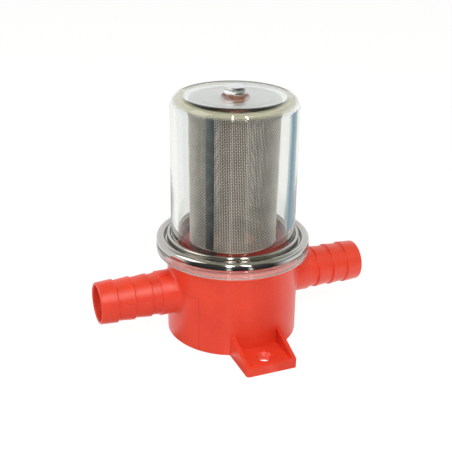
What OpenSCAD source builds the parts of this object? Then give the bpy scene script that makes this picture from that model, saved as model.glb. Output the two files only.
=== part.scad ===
// In-line fuel filter: moulded base with two barbed hose spigots and two
// mounting lugs, clear flanged bowl, stainless clamp ring, mesh element round
// a centre column, and one bolt through the bowl's crown.
// Frame: +Z up, origin under the centre of the base, X along the spigots,
// the first lug on the -Y side. Millimetres.

/* [Base] */
// Diameter of the round base body
body_d = 68; // [60:0.5:85]
// Height of the base body up to its rim
body_h = 48; // [44:0.5:60]
// Height of the spigot axis above the mounting plane
hose_z = 25.7; // [22:0.1:29]
// Inner diameter of the spigots
hose_bore = 18.6; // [14:0.1:20]
// Length of a spigot past the base body
spigot_l = 39.1; // [32:0.1:56]
// Number of barbs on each spigot
barb_count = 3; // [2:1:3]
// Distance from one barb crest to the next
barb_pitch = 8.8; // [6:0.1:9]

/* [Lugs] */
// Length of a lug past the base body
lug_l = 18.8; // [16:0.1:36]
// Width of a lug
lug_w = 26.8; // [20:0.1:34]
// Height of a lug's rim
lug_h = 4.8; // [4:0.1:7]
// Distance from the base body to the middle of a lug hole
lug_hole_l = 9; // [8:0.1:12]
// Diameter of a lug hole
lug_hole_d = 5.3; // [4.3:0.1:6.6]

/* [Bowl] */
// Height from the mounting plane to the top of the bowl
bowl_top = 126.9; // [110:0.1:160]
// Wall thickness of the bowl
bowl_wall = 3.5; // [2.5:0.1:4]
// Radius of the bowl's outer shoulder
shoulder_r = 6; // [5:0.5:10]
// How far the bowl's skirt stands out past the base body
skirt_out = 5.6; // [4.6:0.1:8]

/* [Element] */
// Top diameter of the mesh screen
mesh_top_d = 45.6; // [38:0.2:46]
// Bottom diameter of the mesh screen
mesh_bottom_d = 44.4; // [38:0.2:45]
// Width of the screen's overlap seam
seam_w = 4.1; // [3:0.1:8]

/* [Fasteners] */
// Diameter of the bolt
bolt_d = 6; // [5:0.5:8]
// Size of the bolt head across its flats
head_af = 10; // [8:0.5:13]
// Thickness of the bolt head
head_h = 3; // [2.5:0.1:6]
// Length of the bolt under its head
bolt_l = 25; // [16:1:30]
// Diameter of the centre column
column_d = 12; // [11:0.5:15]

/* [Hidden] */

$fn = 96;
eps = 0.01;              // overlap that keeps a cut clean
gap = 0.3;               // clearance between curved faces of different bodies
slip = 0.05;             // radial clearance of a turning fit

// Radii about the vertical axis
body_r = body_d / 2;
rim_w = 1.7;
hose_reach = body_r + spigot_l;
lug_reach = body_r + lug_l;
lug_hole_y = body_r + lug_hole_l;
bowl_r = body_r - rim_w - gap;
bowl_in_r = bowl_r - bowl_wall;
skirt_r = body_r + skirt_out;
boss_r = bowl_in_r - gap;
mesh_t = 0.5;
mesh_top_r = mesh_top_d / 2;
mesh_bottom_r = mesh_bottom_d / 2;
cap_r = mesh_top_r + 0.1;
cap_hoop_r = mesh_top_r - mesh_t - 0.05;   // hoop under the cap, inside the screen
bolt_r = bolt_d / 2;
shank_hole_r = bolt_r + slip;

// Heights
floor_z = body_h + 4.2;          // raised floor inside the bowl
gasket_t = 1.5;
bowl_foot_z = body_h - 1;        // underside of the bowl's wall
gasket_z = bowl_foot_z - gasket_t;
skirt_low_z = body_h - 2.9;
flange_top_z = body_h + 2;
crown_t = 3.7;
crown_in_z = bowl_top - crown_t;
crown_seal_t = 0.7;
cap_top_z = crown_in_z - crown_seal_t;
cap_t = 0.8;
cap_step = 0.4;                  // the cap slopes down this far to its rim
cap_skirt_h = 1.2;
seat_depth = 3;                  // groove in the floor that holds the element
seat_z = floor_z - seat_depth;
element_seal_t = 1.2;
ring_low_z = seat_z + element_seal_t;
mesh_low_z = ring_low_z + 0.6;
mesh_high_z = cap_top_z - cap_step - cap_t;

// Spigots
barb_valley_r = hose_bore / 2 + 1.05;
barb_crest_r = barb_valley_r + 0.82;
spigot_root_r = barb_crest_r + 0.3;
spigot_collar_r = spigot_root_r + 0.4;
collar_l = 0.7;                   // length of the collar where a spigot leaves the body
tip_r = barb_valley_r + 0.3;
tip_chamfer = 0.7;
barb_drop = 0.4;                 // length of the step behind a crest
first_crest_x = hose_reach - barb_pitch + 0.2;
root_x = first_crest_x - (barb_count - 1) * barb_pitch - 5;
arrow_depth = 0.35;
// Turn of the arrow towards the front, about the spigot's axis
arrow_turn = 20;

// Water ways in the base
hose_r = hose_bore / 2;
well_r = 14;                     // outlet well under the element
well_floor_z = hose_z - hose_r - 2;
riser_in_r = 19.5;
riser_out_r = boss_r - 1.2;
port_in_r = riser_out_r - 4.5;
riser_half_angle = 50;
riser_low_z = hose_z - hose_r;
riser_high_z = body_h - 6;
column_r = column_d / 2;
socket_depth = 6;                // the column is pressed this far into the base
column_z = well_floor_z - socket_depth;
column_top_z = cap_top_z;
insert_h = 12;
insert_r = bolt_r + 1.2;
insert_z = column_top_z - insert_h;

// Lugs
lug_floor_z = lug_h - 1.2;
lug_wall = 2;
lug_corner_r = 1.5;
gusset_h = lug_h + 7.3;
countersink_r = lug_hole_d / 2 + 1.7;
lug_root_y = sqrt(pow(body_r, 2) - pow(lug_w / 2, 2)) - 1.2;

// Underside
foot_ring_w = 5;
foot_relief = 1.2;
edge_chamfer = 0.6;

// Clamp ring
clamp_r = skirt_r - 0.1;
bead_r = 2.3;
inner_bead_r = 0.95;
clamp_in_r = bowl_r + gap;

// Bolt and what it clamps
grommet_lip_t = 0.5;
grommet_lip_r = bolt_r + 3;
grommet_r = bolt_r + 1.4;
washer_t = 0.4;
head_z = bowl_top + grommet_lip_t + washer_t;
head_corner_r = head_af / 2 / cos(30);
head_chamfer = 0.5;
bolt_tip_z = head_z - bolt_l;
bolt_way_z = bolt_tip_z - 3;     // bottom of the blind hole under the insert
seam_angle = 217.4;              // where the seam stands, from +X towards +Y
seam_span = seam_w / mesh_bottom_r * 180 / PI;
seam_t = 0.35;
seam_gap = 0.02;

// A closed ring of rectangular section
module ring(r_in, r_out, z_low, z_high) {
    translate([0, 0, z_low])
        difference() {
            cylinder(r = r_out, h = z_high - z_low);
            translate([0, 0, -eps]) cylinder(r = r_in, h = z_high - z_low + 2 * eps);
        }
}

// An arc-shaped slot centred on the -X direction
module arc_slot(r_in, r_out, z_low, z_high, half_angle) {
    rotate([0, 0, 180 - half_angle])
        rotate_extrude(angle = 2 * half_angle)
            translate([r_in, z_low]) square([r_out - r_in, z_high - z_low]);
}

// ---- base ----

// Half section of a spigot: tip, barbs and the plain root, as [radius, distance]
function spigot_outline() = concat(
    [[0, body_r - 8], [0, hose_reach], [tip_r - tip_chamfer, hose_reach]],
    [[tip_r, hose_reach - tip_chamfer], [barb_crest_r, first_crest_x]],
    [[barb_valley_r, first_crest_x - barb_drop]],
    [for (i = [1 : barb_count - 1])
        for (p = [[barb_crest_r, first_crest_x - i * barb_pitch],
                  [barb_valley_r, first_crest_x - i * barb_pitch - barb_drop]]) p],
    [[barb_valley_r + 0.5, root_x], [spigot_root_r, root_x - 0.4]],
    [[spigot_root_r, body_r + collar_l], [spigot_collar_r, body_r + collar_l - 0.2]],
    [[spigot_collar_r, body_r - 8]]
);

// A solid spigot along +X, bored later
module spigot() {
    translate([0, 0, hose_z])
        rotate([0, 90, 0])
            rotate_extrude() polygon(spigot_outline());
}

// Flow arrow sunk high on the inlet spigot's front, pointing at the base
module flow_arrow() {
    arrow_l = 5;
    arrow_w = 3.6;
    translate([-body_r - 1.2, 0, hose_z])
        rotate([arrow_turn, 0, 0])
            translate([0, 0, spigot_root_r - arrow_depth])
                linear_extrude(height = 2)
                    polygon([[0, 0], [-arrow_l / 2, arrow_w / 2], [-arrow_l / 2, arrow_w / 6],
                             [-arrow_l, arrow_w / 6], [-arrow_l, -arrow_w / 6],
                             [-arrow_l / 2, -arrow_w / 6], [-arrow_l / 2, -arrow_w / 2]]);
}

// Plan of a lug towards -Y, with rounded outer corners
module lug_plan(inset) {
    half = lug_w / 2 - inset;
    outer = lug_reach - inset;
    corner = lug_corner_r;
    translate([-half, -outer + corner]) square([2 * half, outer - corner - lug_root_y]);
    translate([-half + corner, -outer]) square([2 * (half - corner), corner + eps]);
    for (side = [-1, 1])
        translate([side * (half - corner), -outer + corner]) circle(r = corner, $fn = 48);
}

// Sloping web on one side of a lug
module gusset(side) {
    translate([side * (lug_w / 2 - lug_wall / 2), 0, 0])
        rotate([90, 0, -90])
            translate([0, 0, -lug_wall / 2])
                linear_extrude(height = lug_wall)
                    polygon([[lug_root_y, 0], [lug_reach - lug_corner_r, 0],
                             [lug_reach - lug_corner_r, lug_h], [lug_root_y + 3, gusset_h],
                             [lug_root_y, gusset_h]]);
}

// One lug: tray with a rim, two webs and a countersunk hole
module lug() {
    hole_y = -lug_hole_y;
    difference() {
        linear_extrude(height = lug_h) lug_plan(0);
        translate([0, 0, lug_floor_z])
            linear_extrude(height = lug_h) lug_plan(lug_wall);
        translate([0, hole_y, -eps]) cylinder(d = lug_hole_d, h = lug_h);
        translate([0, hole_y, lug_floor_z - countersink_r + lug_hole_d / 2])
            cylinder(r1 = lug_hole_d / 2, r2 = countersink_r + eps, h = countersink_r - lug_hole_d / 2 + eps);
    }
    gusset(-1);
    gusset(1);
}

// Round body with its rim, the step for the gasket and the raised floor
module body_shape() {
    rotate_extrude()
        polygon([[0, foot_relief], [body_r - foot_ring_w, foot_relief], [body_r - foot_ring_w, 0],
                 [body_r - edge_chamfer, 0], [body_r, edge_chamfer], [body_r, body_h],
                 [body_r - rim_w, body_h], [body_r - rim_w, gasket_z], [boss_r, gasket_z],
                 [boss_r, floor_z - edge_chamfer], [boss_r - edge_chamfer, floor_z], [0, floor_z]]);
}

// Everything that is cut from the base: well, riser, port, bores, seat
module base_cuts() {
    translate([0, 0, well_floor_z]) cylinder(r = well_r, h = floor_z - well_floor_z + 1);
    translate([0, 0, column_z]) cylinder(r = column_r, h = socket_depth + 1);
    arc_slot(riser_in_r, riser_out_r, riser_low_z, riser_high_z, riser_half_angle);
    arc_slot(port_in_r, riser_out_r, riser_high_z - 1, floor_z + 1, riser_half_angle);
    translate([-hose_reach - 1, 0, hose_z])
        rotate([0, 90, 0]) cylinder(r = hose_r, h = hose_reach + 1 - riser_in_r - 2);
    translate([well_r - 5, 0, hose_z])
        rotate([0, 90, 0]) cylinder(r = hose_r, h = hose_reach);
    ring(mesh_bottom_r - mesh_t - 0.7, mesh_bottom_r + 0.6, seat_z, floor_z + 1);
}

module base_housing() {
    color([0.86, 0.2, 0.13])
        difference() {
            union() {
                body_shape();
                for (turn = [0, 180]) {
                    rotate([0, 0, turn]) spigot();
                    rotate([0, 0, turn]) lug();
                }
            }
            base_cuts();
            flow_arrow();
        }
}

// Moulded column inside the element: it stands in the base and takes the bolt
module centre_column() {
    color([0.62, 0.16, 0.1])
        difference() {
            translate([0, 0, column_z]) cylinder(r = column_r, h = column_top_z - column_z);
            translate([0, 0, insert_z]) cylinder(r = insert_r, h = insert_h + 1);
            translate([0, 0, bolt_way_z]) cylinder(r = bolt_r + gap, h = insert_z - bolt_way_z + 1);
        }
}

// Brass insert pressed into the column's top
module threaded_insert() {
    color([0.78, 0.6, 0.28])
        translate([0, 0, insert_z])
            difference() {
                cylinder(r = insert_r, h = insert_h);
                translate([0, 0, -eps]) cylinder(r = shank_hole_r, h = insert_h + 2 * eps);
            }
}

// Flat rubber gasket that the bowl's foot presses on
module bowl_gasket() {
    color([0.08, 0.08, 0.08]) ring(boss_r, body_r - rim_w, gasket_z, bowl_foot_z);
}

// ---- bowl ----

// Half section of the bowl's outer skin, shoulder and flange included
module bowl_outer_section() {
    square_top = bowl_top - shoulder_r;
    translate([0, bowl_foot_z]) square([bowl_r, square_top - bowl_foot_z]);
    translate([0, bowl_foot_z]) square([bowl_r - shoulder_r, bowl_top - bowl_foot_z]);
    translate([bowl_r - shoulder_r, square_top])
        intersection() {
            circle(r = shoulder_r);
            square(shoulder_r);
        }
    difference() {
        translate([0, skirt_low_z]) square([skirt_r - edge_chamfer, flange_top_z - skirt_low_z]);
        translate([0, skirt_low_z - 1]) square([body_r + gap, body_h + gap - skirt_low_z + 1]);
    }
    translate([body_r + gap + 1, skirt_low_z + edge_chamfer])
        square([skirt_out - gap - 1, flange_top_z - skirt_low_z - edge_chamfer]);
}

// Half section of the space inside the bowl
module bowl_inner_section() {
    inner_shoulder_r = shoulder_r - 3;
    translate([0, skirt_low_z - 1])
        square([bowl_in_r, crown_in_z - inner_shoulder_r - skirt_low_z + 1]);
    translate([0, skirt_low_z - 1])
        square([bowl_in_r - inner_shoulder_r, crown_in_z - skirt_low_z + 1]);
    translate([bowl_in_r - inner_shoulder_r, crown_in_z - inner_shoulder_r])
        circle(r = inner_shoulder_r);
}

module bowl() {
    color([0.92, 0.95, 0.93, 0.35])
        difference() {
            rotate_extrude() bowl_outer_section();
            rotate_extrude() bowl_inner_section();
            translate([0, 0, crown_in_z - 1]) cylinder(r = grommet_r, h = crown_t + 2);
        }
}

// Fibre grommet that lines the crown's hole, with a lip under the washer
module crown_grommet() {
    color([0.45, 0.2, 0.13])
        union() {
            ring(bolt_r + gap, grommet_r, crown_in_z, bowl_top + eps);
            ring(bolt_r + gap, grommet_lip_r, bowl_top, bowl_top + grommet_lip_t);
        }
}

// ---- clamp ring ----

// Half section: wide outer bead, groove and thin inner bead
module clamp_section() {
    bead_x = clamp_r - bead_r;
    bead_z = flange_top_z + 1.5;
    inner_x = clamp_in_r + inner_bead_r;
    inner_z = flange_top_z + 3.8;
    translate([bead_x, bead_z]) circle(r = bead_r);
    translate([inner_x, inner_z]) circle(r = inner_bead_r);
    translate([clamp_in_r, flange_top_z + 1.2]) square([2 * inner_bead_r, inner_z - flange_top_z - 1.2]);
    translate([clamp_in_r, flange_top_z]) square([clamp_r - clamp_in_r - 0.4, 1.5]);
    translate([clamp_in_r, flange_top_z + 1]) square([bead_x - clamp_in_r, 1.2]);
}

module clamp_ring() {
    color([0.75, 0.76, 0.78])
        rotate_extrude()
            intersection() {
                clamp_section();
                translate([0, flange_top_z]) square([skirt_r, 10]);
            }
}

// ---- element ----

// Rubber ring at the bottom of the seat groove
module element_seal() {
    color([0.08, 0.08, 0.08])
        ring(mesh_bottom_r - mesh_t - 0.4, mesh_bottom_r + gap, seat_z, seat_z + element_seal_t);
}

// Channel that closes the bottom edge of the screen
module bottom_ring() {
    color([0.7, 0.71, 0.72])
        difference() {
            ring(mesh_bottom_r - mesh_t - 0.35, mesh_bottom_r + 0.25, ring_low_z, ring_low_z + 1.6);
            ring(mesh_bottom_r - mesh_t, mesh_bottom_r, mesh_low_z, ring_low_z + 2);
        }
}

// Radius of the screen's outer face at height z
function mesh_r(z) = mesh_bottom_r
    + (mesh_top_r - mesh_bottom_r) * max(0, z - floor_z) / (mesh_high_z - floor_z);

// Woven screen, drawn as a thin sheet: straight in its seat, then a slight cone
module mesh_screen() {
    color([0.55, 0.56, 0.57])
        rotate_extrude()
            polygon([[mesh_bottom_r - mesh_t, mesh_low_z], [mesh_bottom_r, mesh_low_z],
                     [mesh_bottom_r, floor_z], [mesh_top_r, mesh_high_z],
                     [mesh_top_r - mesh_t, mesh_high_z], [mesh_bottom_r - mesh_t, floor_z]]);
}

// Strip where the two ends of the screen overlap
module mesh_seam() {
    z_low = floor_z + 0.5;
    z_high = mesh_high_z - 0.3;
    color([0.4, 0.41, 0.42])
        rotate([0, 0, seam_angle - seam_span / 2])
            rotate_extrude(angle = seam_span)
                polygon([[mesh_r(z_low) + seam_gap, z_low], [mesh_r(z_low) + seam_t, z_low],
                         [mesh_r(z_high) + seam_t, z_high], [mesh_r(z_high) + seam_gap, z_high]]);
}

// Pressed cap: a raised middle, a lower rim and a short skirt over the screen
module top_cap() {
    rim_z = cap_top_z - cap_step;
    middle_r = cap_r - 5.2;
    skirt_z = rim_z - cap_t - cap_skirt_h;
    color([0.72, 0.73, 0.74])
        rotate_extrude()
            polygon([[column_r + gap, cap_top_z - cap_t], [middle_r, cap_top_z - cap_t],
                     [cap_hoop_r - cap_t, rim_z - cap_t], [cap_hoop_r - cap_t, skirt_z],
                     [cap_hoop_r, skirt_z], [cap_hoop_r, rim_z - cap_t], [cap_r, rim_z - cap_t],
                     [cap_r, rim_z - 0.2], [cap_r - 0.2, rim_z], [middle_r, cap_top_z],
                     [column_r + gap, cap_top_z]]);
}

// Fibre washer between the column, the cap and the bowl's crown
module crown_seal() {
    color([0.42, 0.2, 0.14]) ring(grommet_r, column_r + 1, cap_top_z, crown_in_z);
}

// ---- bolt ----

module head_washer() {
    color([0.74, 0.75, 0.76])
        ring(shank_hole_r, grommet_lip_r - 0.2, bowl_top + grommet_lip_t, head_z);
}

// Hexagon head with a turned chamfer, and the shank
module crown_bolt() {
    color([0.78, 0.79, 0.81]) {
        intersection() {
            translate([0, 0, head_z]) cylinder(r = head_corner_r, h = head_h, $fn = 6);
            translate([0, 0, head_z - 1])
                cylinder(r1 = head_af + 1, r2 = head_af / 2 - head_chamfer / 2, h = head_h + 1);
        }
        translate([0, 0, bolt_tip_z + 1]) cylinder(r = bolt_r, h = head_z - bolt_tip_z);
        translate([0, 0, bolt_tip_z]) cylinder(r1 = bolt_r - 1, r2 = bolt_r, h = 1);
    }
}

base_housing();
centre_column();
threaded_insert();
bowl_gasket();
bowl();
crown_grommet();
clamp_ring();
element_seal();
bottom_ring();
mesh_screen();
mesh_seam();
top_cap();
crown_seal();
head_washer();
crown_bolt();
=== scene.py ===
"""Looks for an in-line fuel filter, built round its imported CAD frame.

Every class is one sub-assembly or one finish. Sizes are in millimetres and
become metres when a mesh is made.
"""

import logging
import math
from dataclasses import dataclass, field
from enum import Enum
from typing import Any, Callable, Iterable, Sequence

import bmesh
import bpy
from mathutils import Matrix, Vector


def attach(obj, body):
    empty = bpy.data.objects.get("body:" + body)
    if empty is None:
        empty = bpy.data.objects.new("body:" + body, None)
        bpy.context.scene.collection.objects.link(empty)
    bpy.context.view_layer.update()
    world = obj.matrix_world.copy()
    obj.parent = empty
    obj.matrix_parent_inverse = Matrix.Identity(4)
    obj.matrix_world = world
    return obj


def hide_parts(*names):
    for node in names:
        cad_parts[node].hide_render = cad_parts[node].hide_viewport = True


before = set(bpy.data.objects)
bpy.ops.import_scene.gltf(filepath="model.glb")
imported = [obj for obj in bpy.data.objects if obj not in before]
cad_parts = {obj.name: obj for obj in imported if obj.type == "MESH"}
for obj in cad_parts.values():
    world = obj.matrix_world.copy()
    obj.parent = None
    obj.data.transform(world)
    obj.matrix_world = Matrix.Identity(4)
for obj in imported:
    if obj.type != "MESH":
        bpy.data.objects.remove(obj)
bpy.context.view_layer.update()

LOG = logging.getLogger("fuel_filter")
MM = 0.001
TURN = 2 * math.pi
Point = tuple[float, float]
Colour = tuple[float, float, float]


class Slot(Enum):
    """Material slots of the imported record."""

    RED = "red_moulding"
    CLEAR = "clear_moulding"
    POLISHED = "polished_steel"
    PRESSED = "pressed_steel"
    WIRE = "mesh_steel"
    BOLT = "bolt_steel"
    BRASS = "insert_brass"
    RUBBER = "black_rubber"
    FIBRE = "brown_fibre"


class Body(Enum):
    """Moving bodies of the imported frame."""

    BASE = "base"
    BOWL = "bowl"
    RING = "clamp_ring"
    ELEMENT = "element"
    WASHER = "head_washer"
    BOLT = "crown_bolt"


# ---------------------------------------------------------------- node trees


def _operator(operation: str, swapped: bool = False) -> Callable[["Signal", Any], "Signal"]:
    """Return the method that writes one arithmetic operator as a Math node.

    Args:
        operation: The node's operation.
        swapped: True where the Signal stands to the right of the operator.

    Returns:
        The method for the Signal class.
    """
    def method(self: "Signal", other: Any) -> "Signal":
        """Return the result of the operator."""
        left, right = (other, self) if swapped else (self, other)
        node = self.tree.node("ShaderNodeMath", {"operation": operation}, {0: left, 1: right})
        return Signal(self.tree, node.outputs[0])

    return method


class Signal:
    """A value that varies over a surface, written as plain arithmetic."""

    def __init__(self, tree: "Tree", socket: Any) -> None:
        """Wrap one output socket of a node tree.

        Args:
            tree: Builder that owns the node.
            socket: Output socket that carries the value.
        """
        self.tree = tree
        self.socket = socket

    __add__ = _operator("ADD")
    __radd__ = _operator("ADD", swapped=True)
    __sub__ = _operator("SUBTRACT")
    __rsub__ = _operator("SUBTRACT", swapped=True)
    __mul__ = _operator("MULTIPLY")
    __rmul__ = _operator("MULTIPLY", swapped=True)
    __truediv__ = _operator("DIVIDE")
    __pow__ = _operator("POWER")
    __mod__ = _operator("MODULO")

    def distance(self, other: Any) -> "Signal":
        """Return the absolute difference from another value."""
        gap = self - other
        node = self.tree.node("ShaderNodeMath", {"operation": "ABSOLUTE"}, {0: gap})
        return Signal(self.tree, node.outputs[0])

    def fade(self, low: float, high: float, start: float = 0.0, end: float = 1.0) -> "Signal":
        """Map low..high smoothly onto start..end and hold outside it."""
        node = self.tree.node(
            "MapRange",
            {"interpolation_type": "SMOOTHSTEP", "clamp": True},
            {"Value": self, "From Min": low, "From Max": high, "To Min": start, "To Max": end},
        )
        return Signal(self.tree, node.outputs[0])


class Tree:
    """Builds nodes in a shader, world or geometry tree."""

    prefix = "ShaderNode"

    def __init__(self, tree: Any) -> None:
        """Keep the tree that the nodes go into.

        Args:
            tree: Node tree to fill.
        """
        self.tree = tree

    def node(self, kind: str, settings: dict[str, Any] | None = None,
             inputs: dict[Any, Any] | None = None) -> Any:
        """Add one node, set it up and feed its sockets.

        Args:
            kind: Node type without its tree's prefix.
            settings: Attributes set before any socket.
            inputs: Values, sockets or Signals by socket name or index.

        Returns:
            The new node.
        """
        known = kind if kind.startswith(("Shader", "Geometry")) else self.prefix + kind
        made = self.tree.nodes.new(known)
        for name, value in (settings or {}).items():
            setattr(made, name, value)
        for key, value in (inputs or {}).items():
            self.plug(made.inputs[key], value)
        return made

    def plug(self, socket: Any, value: Any) -> None:
        """Set one socket to a constant, or link a Signal or a socket to it."""
        if isinstance(value, Signal):
            self.tree.links.new(value.socket, socket)
        elif isinstance(value, bpy.types.NodeSocket):
            self.tree.links.new(value, socket)
        else:
            socket.default_value = value

    def mix(self, factor: Any, first: Any, second: Any) -> Any:
        """Mix two colours and return the colour socket."""
        node = self.node("ShaderNodeMix", {"data_type": "RGBA"}, {0: factor, 6: first, 7: second})
        return node.outputs[2]

    def blend(self, factor: Any, first: Any, second: Any) -> Any:
        """Mix two shaders and return the shader socket."""
        return self.node("MixShader", inputs={0: factor, 1: first, 2: second}).outputs[0]

    def tinted(self, kind: str, tone: Any, **values: float) -> Any:
        """Return the output socket of a shader of one kind and colour."""
        return self.node(kind, inputs={"Color": tone, **values}).outputs[0]


def rgba(tone: Colour) -> tuple[float, float, float, float]:
    """Return a colour with full alpha."""
    return (*tone, 1.0)


class Surface(Tree):
    """A shader tree of one material, with its Principled shader ready."""

    def __init__(self, name: str) -> None:
        """Make the material and its output.

        Args:
            name: Name of the material.
        """
        self.material = bpy.data.materials.new(name)
        self.material.use_nodes = True
        super().__init__(self.material.node_tree)
        self.tree.nodes.clear()
        self.output = self.node("OutputMaterial")
        self.shader = self.node("BsdfPrincipled")
        self.tree.links.new(self.shader.outputs[0], self.output.inputs["Surface"])
        self.place = self.node("TexCoord").outputs["Object"]

    def axes(self) -> tuple[Signal, Signal, Signal]:
        """Return the object's X, Y and Z over the surface, in metres."""
        split = self.node("SeparateXYZ", inputs={0: self.place})
        x, y, z = (Signal(self, split.outputs[index]) for index in range(3))
        return x, y, z

    def noise(self, scale: float, detail: float = 2.0, roughness: float = 0.5,
              where: Any = None) -> Signal:
        """Return a soft random value from 0 to 1.

        Args:
            scale: Features per metre.
            detail: Octaves.
            roughness: Weight of the fine octaves.
            where: Coordinates, or None for the object's own.

        Returns:
            The noise value.
        """
        node = self.node("TexNoise", {"noise_dimensions": "3D"},
                         {"Vector": where or self.place, "Scale": scale, "Detail": detail,
                          "Roughness": roughness})
        return Signal(self, node.outputs["Fac"])

    def radius(self) -> Signal:
        """Return the distance from the vertical axis, in metres."""
        x, y, _ = self.axes()
        return (x * x + y * y) ** 0.5

    def angle(self) -> Signal:
        """Return the turn about the vertical axis, in radians."""
        x, y, _ = self.axes()
        node = self.node("Math", {"operation": "ARCTAN2"}, {0: y, 1: x})
        return Signal(self, node.outputs[0])

    def bump(self, height: Signal, depth: float, strength: float = 1.0) -> None:
        """Press a height into the shader's normal.

        Args:
            height: Height from 0 to 1.
            depth: Depth in metres.
            strength: Weight of the bump.
        """
        node = self.node("Bump", inputs={"Strength": strength, "Distance": depth, "Height": height})
        self.tree.links.new(node.outputs[0], self.shader.inputs["Normal"])

    def feed(self, **values: Any) -> None:
        """Set the shader's sockets by name, with _ for a space."""
        for name, value in values.items():
            self.plug(self.shader.inputs[name.replace("_", " ")], value)


# ------------------------------------------------------------------ finishes


@dataclass(frozen=True)
class RedMoulding:
    """Satin injection-moulded plastic with faint mould-insert lines and painted shade on the floor inside the
    bowl.
    """

    name: str = "red_moulded_plastic"
    tone: Colour = (0.80, 0.055, 0.022)
    deep: Colour = (0.58, 0.022, 0.010)
    fleck: Colour = (0.92, 0.16, 0.09)
    floor_shade: Colour = (0.07, 0.008, 0.006)
    floor_shade_radius: tuple[float, float] = (0.0280, 0.0284)
    floor_shade_height: tuple[float, float] = (0.0475, 0.0485)
    line_turns: tuple[float, float] = (-2.47, -2.67)
    line_height: float = 0.030
    roughness: float = 0.36
    lines: bool = True

    def make(self) -> bpy.types.Material:
        """Return the finished material."""
        skin = Surface(self.name)
        cloud = skin.noise(38, 3, 0.55).fade(0.3, 0.7)
        speck = skin.noise(900, 2, 0.6).fade(0.35, 0.75)
        tone = skin.mix(cloud * 0.35, rgba(self.tone), rgba(self.deep))
        tone = skin.mix(speck * 0.10, tone, rgba(self.fleck))
        height = skin.axes()[2]
        # Painted shade: inside the bowl the floor, and anything standing on it, is darkened towards near
        # black where the bowl and screen keep the light off; the same mask also roughens the surface and
        # thins its coat.
        inside = skin.radius().fade(*self.floor_shade_radius, 1.0, 0.0) * height.fade(*self.floor_shade_height)
        tone = skin.mix(inside * (0.85 + cloud * 0.1), tone, rgba(self.floor_shade))
        rough = self.roughness + cloud * 0.08 + speck * 0.05 + inside * 0.3
        relief = skin.noise(1500, 2, 0.5) * 0.25 + skin.noise(160, 2, 0.5) * 0.75
        if self.lines:
            line = self._insert_lines(skin)
            relief = relief - line * 1.6
            tone = skin.mix(line * 0.5, tone, rgba(self.deep))
        skin.feed(Base_Color=tone, Roughness=rough, IOR=1.53, Specular_IOR_Level=0.16,
                  Coat_Weight=0.55 - inside * 0.5, Coat_Roughness=0.34, Subsurface_Weight=0.08,
                  Subsurface_Radius=(0.004, 0.001, 0.0006), Subsurface_Scale=0.6)
        skin.bump(relief, 0.00012, 0.5)
        return skin.material

    def _insert_lines(self, skin: Surface) -> Signal:
        """Return the mask of the two fine lines left by a mould insert."""
        upright_turn, level_turn = self.line_turns
        turn, height = skin.angle(), skin.axes()[2]
        upright = turn.distance(upright_turn).fade(0.004, 0.010, 1.0, 0.0)
        upright = upright * height.fade(self.line_height, 0.0305, 1.0, 0.0)
        level = height.distance(self.line_height).fade(0.00012, 0.0003, 1.0, 0.0)
        level = level * turn.distance(level_turn).fade(0.20, 0.21, 1.0, 0.0)
        return upright + level


@dataclass(frozen=True)
class ClearMoulding:
    """Clear thick-walled plastic with a faint olive body."""

    name: str = "clear_bowl_plastic"
    tint: Colour = (0.80, 0.86, 0.66)
    density: float = 14.0
    ior: float = 1.5
    glass: Colour = (0.908, 0.916, 0.912)
    shade: Colour = (0.93, 0.95, 0.93)
    milk: Colour = (0.95, 0.90, 0.88)
    skirt_milk: float = 0.15
    skirt_height: tuple[float, float] = (0.0478, 0.0500)
    olive: Colour = (0.36, 0.36, 0.27)
    painted_band_share: float = 0.7
    band_inner: tuple[float, float] = (0.0248, 0.0256)
    band_outer: tuple[float, float] = (0.0286, 0.0290)
    band_low: tuple[float, float] = (0.1212, 0.1226)
    band_high: tuple[float, float] = (0.1236, 0.1240)

    def make(self) -> bpy.types.Material:
        """Return the finished material: glass that lets lamps through."""
        glass = Surface(self.name)
        haze = glass.noise(60, 2, 0.5).fade(0.45, 0.75) * 0.012
        glass.feed(Base_Color=rgba(self.glass), Transmission_Weight=1.0, IOR=self.ior,
                   Roughness=haze + 0.004)
        shadow = glass.node("LightPath").outputs["Is Shadow Ray"]
        shader = glass.blend(shadow, glass.shader.outputs[0],
                             glass.tinted("BsdfTransparent", rgba(self.shade)))
        radius, z = glass.radius(), glass.axes()[2]
        cloudy = z.fade(*self.skirt_height, self.skirt_milk, 0.0)
        shader = glass.blend(cloudy, shader, glass.tinted("BsdfDiffuse", rgba(self.milk)))
        # Painted refraction: an olive diffuse band in the crown's inner shoulder stands in for the tone the
        # thick glass shows there by refraction.
        painted_band = radius.fade(*self.band_inner) * radius.fade(*self.band_outer, 1.0, 0.0)
        painted_band = painted_band * z.fade(*self.band_low) * z.fade(*self.band_high, self.painted_band_share, 0.0)
        shader = glass.blend(painted_band, shader, glass.tinted("BsdfDiffuse", rgba(self.olive)))
        glass.plug(glass.output.inputs["Surface"], shader)
        glass.plug(glass.output.inputs["Volume"],
                   glass.tinted("VolumeAbsorption", rgba(self.tint), Density=self.density))
        return glass.material


@dataclass(frozen=True)
class TurnedSteel:
    """Bright steel with fine marks that run round the vertical axis."""

    name: str
    tone: Colour = (0.74, 0.75, 0.76)
    roughness: float = 0.10
    mark_depth: float = 0.00001

    def make(self) -> bpy.types.Material:
        """Return the finished material."""
        steel = Surface(self.name)
        marks = steel.node("CombineXYZ", inputs={
            0: steel.radius() * 14.0, 1: steel.axes()[2] * 14.0, 2: steel.angle() * 0.05})
        fine = steel.noise(420, 3, 0.6, marks.outputs[0])
        smudge = steel.noise(70, 3, 0.5).fade(0.4, 0.7)
        tone = steel.mix(fine.fade(0.35, 0.65), rgba(self.tone),
                         rgba(tuple(0.88 * part for part in self.tone)))
        steel.feed(Base_Color=tone, Metallic=1.0, Roughness=self.roughness + smudge * 0.05 + fine * 0.04)
        steel.bump(fine, self.mark_depth, 0.4)
        return steel.material


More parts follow.
